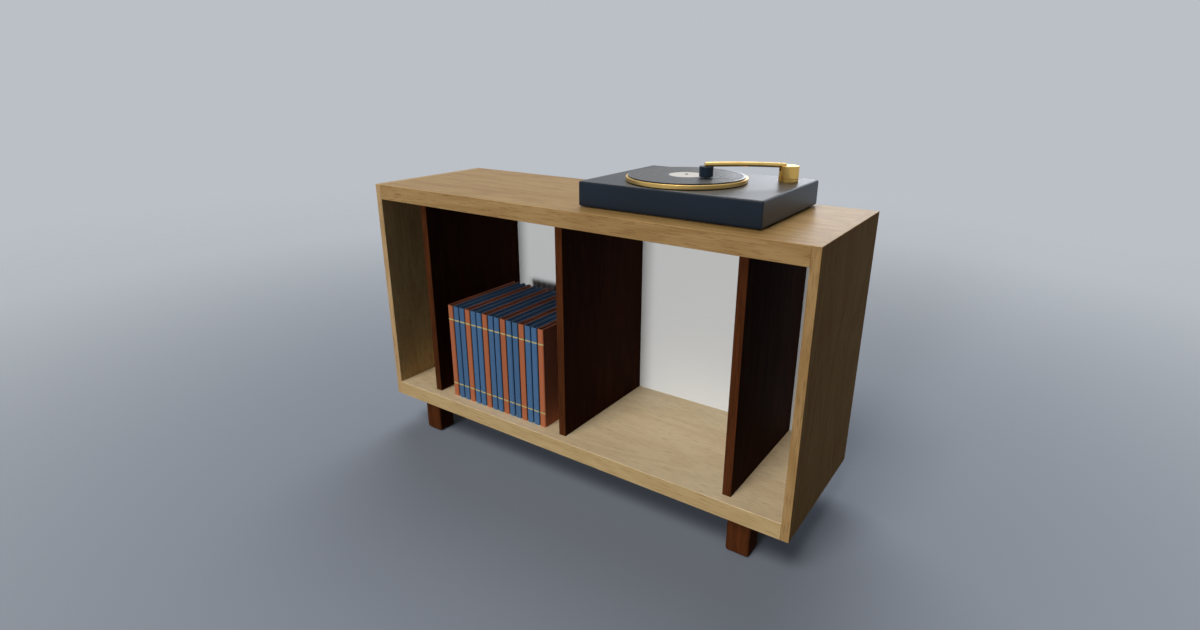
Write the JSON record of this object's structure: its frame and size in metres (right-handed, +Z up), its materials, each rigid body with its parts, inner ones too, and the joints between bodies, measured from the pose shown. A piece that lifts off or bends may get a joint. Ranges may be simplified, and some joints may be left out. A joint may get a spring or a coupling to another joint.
{
  "type": "record console",
  "caption": "Open oak record cabinet on block feet with walnut dividers, a row of record albums and a belt-driven record player with a swinging tonearm on top.",
  "frame": {"origin": "on the floor, under the middle of the cabinet", "axes": "+X along the cabinet's length to the right, +Y towards its back, +Z up"},
  "size_m": [1.4, 0.45, 0.9533],
  "materials": {
    "oak": "light oak, satin oil",
    "walnut": "dark walnut, satin oil",
    "beech_dowel": "plain beech",
    "white_panel": "off-white matt paint on fibreboard",
    "base_board": "black stained board",
    "steel": "zinc plated",
    "nickel": "nickel plated",
    "felt": "pressed felt",
    "rubber_feet": "soft black rubber",
    "album_terracotta": "cloth-covered board",
    "album_blue": "cloth-covered board",
    "navy_lacquer": "dark slate blue satin lacquer",
    "brass": "satin",
    "drive_plastic": "moulded",
    "slip_mat_felt": "felt",
    "vinyl": "pressed grooves",
    "label_paper": "plain",
    "motor_metal": "matt",
    "belt_rubber": "ground",
    "dark_metal": "dark slate blue satin",
    "stylus_metal": "fine"
  },
  "bodies": {
    "cabinet": {"top_board": "oak", "bottom_board": "oak", "left_side": "oak", "right_side": "oak", "divider_left": "walnut", "divider_middle": "walnut", "divider_right": "walnut", "back_panel": "white_panel", "back_panel_screws": "steel", "carcass_dowels": "beech_dowel", "foot_front_left": "walnut", "foot_front_right": "walnut", "foot_rear_left": "walnut", "foot_rear_right": "walnut", "foot_bolts": "steel", "floor_glides": "felt", "plinth_body": "navy_lacquer", "plinth_base": "base_board", "plinth_feet": "rubber_feet", "main_bearing": "brass", "motor": "motor_metal", "deck_screws": "steel", "drive_belt": "belt_rubber", "arm_base": "brass", "arm_pivot_shaft": "steel", "arm_base_nut": "steel", "phono_sockets": "nickel", "power_inlet": "drive_plastic"},
    "platter": {"platter": "brass", "sub_platter": "drive_plastic", "spindle": "steel", "slip_mat": "slip_mat_felt", "record": "vinyl", "record_label": "label_paper"},
    "pulley": {"motor_pulley": "brass", "motor_shaft": "steel"},
    "arm_swivel": {"arm_housing": "brass", "lift_pin": "steel"},
    "arm": {"arm_block": "brass", "arm_tube": "brass", "headshell": "dark_metal", "cartridge": "drive_plastic", "stylus": "stylus_metal"},
    "album_01_body": {"album_01": "album_terracotta"},
    "album_02_body": {"album_02": "album_blue"},
    "album_03_body": {"album_03": "album_blue"},
    "album_04_body": {"album_04": "album_terracotta"},
    "album_05_body": {"album_05": "album_blue"},
    "album_06_body": {"album_06": "album_blue"},
    "album_07_body": {"album_07": "album_terracotta"},
    "album_08_body": {"album_08": "album_blue"},
    "album_09_body": {"album_09": "album_blue"},
    "album_10_body": {"album_10": "album_terracotta"},
    "album_11_body": {"album_11": "album_blue"},
    "album_12_body": {"album_12": "album_blue"},
    "album_13_body": {"album_13": "album_terracotta"},
    "album_14_body": {"album_14": "album_blue"},
    "album_15_body": {"album_15": "album_blue"},
    "album_16_body": {"album_16": "album_terracotta"}
  },
  "joints": [
    {"name": "platter_spin", "type": "hinge", "parent": "cabinet", "child": "platter", "pos_m": [0.268, 0.002, 0.9072], "axis": [0, 0, 1], "continuous": true},
    {"name": "pulley_spin", "type": "hinge", "parent": "cabinet", "child": "pulley", "pos_m": [0.171, 0.058, 0.894], "axis": [0, 0, 1], "continuous": true},
    {"name": "arm_swing", "type": "hinge", "parent": "cabinet", "child": "arm_swivel", "pos_m": [0.4895, 0.134, 0.915], "axis": [0, 0, 1], "range_deg": [-3.5, 40]},
    {"name": "arm_lift", "type": "hinge", "parent": "arm_swivel", "child": "arm", "pos_m": [0.4895, 0.134, 0.935], "axis": [-0.6756, 0.7373, 0], "range_deg": [0, 20]},
    {"name": "album_01_slide", "type": "slide", "parent": "cabinet", "child": "album_01_body", "axis": [0, -1, 0], "range_m": [0, 0.35]},
    {"name": "album_02_slide", "type": "slide", "parent": "cabinet", "child": "album_02_body", "axis": [0, -1, 0], "range_m": [0, 0.35]},
    {"name": "album_03_slide", "type": "slide", "parent": "cabinet", "child": "album_03_body", "axis": [0, -1, 0], "range_m": [0, 0.35]},
    {"name": "album_04_slide", "type": "slide", "parent": "cabinet", "child": "album_04_body", "axis": [0, -1, 0], "range_m": [0, 0.35]},
    {"name": "album_05_slide", "type": "slide", "parent": "cabinet", "child": "album_05_body", "axis": [0, -1, 0], "range_m": [0, 0.35]},
    {"name": "album_06_slide", "type": "slide", "parent": "cabinet", "child": "album_06_body", "axis": [0, -1, 0], "range_m": [0, 0.35]},
    {"name": "album_07_slide", "type": "slide", "parent": "cabinet", "child": "album_07_body", "axis": [0, -1, 0], "range_m": [0, 0.35]},
    {"name": "album_08_slide", "type": "slide", "parent": "cabinet", "child": "album_08_body", "axis": [0, -1, 0], "range_m": [0, 0.35]},
    {"name": "album_09_slide", "type": "slide", "parent": "cabinet", "child": "album_09_body", "axis": [0, -1, 0], "range_m": [0, 0.35]},
    {"name": "album_10_slide", "type": "slide", "parent": "cabinet", "child": "album_10_body", "axis": [0, -1, 0], "range_m": [0, 0.35]},
    {"name": "album_11_slide", "type": "slide", "parent": "cabinet", "child": "album_11_body", "axis": [0, -1, 0], "range_m": [0, 0.35]},
    {"name": "album_12_slide", "type": "slide", "parent": "cabinet", "child": "album_12_body", "axis": [0, -1, 0], "range_m": [0, 0.35]},
    {"name": "album_13_slide", "type": "slide", "parent": "cabinet", "child": "album_13_body", "axis": [0, -1, 0], "range_m": [0, 0.35]},
    {"name": "album_14_slide", "type": "slide", "parent": "cabinet", "child": "album_14_body", "axis": [0, -1, 0], "range_m": [0, 0.35]},
    {"name": "album_15_slide", "type": "slide", "parent": "cabinet", "child": "album_15_body", "axis": [0, -1, 0], "range_m": [0, 0.35]},
    {"name": "album_16_slide", "type": "slide", "parent": "cabinet", "child": "album_16_body", "axis": [0, -1, 0], "range_m": [0, 0.35]}
  ],
  "couplings": [
    {"joint": "pulley_spin", "follows": "platter_spin", "ratio": 8.8161}
  ]
}
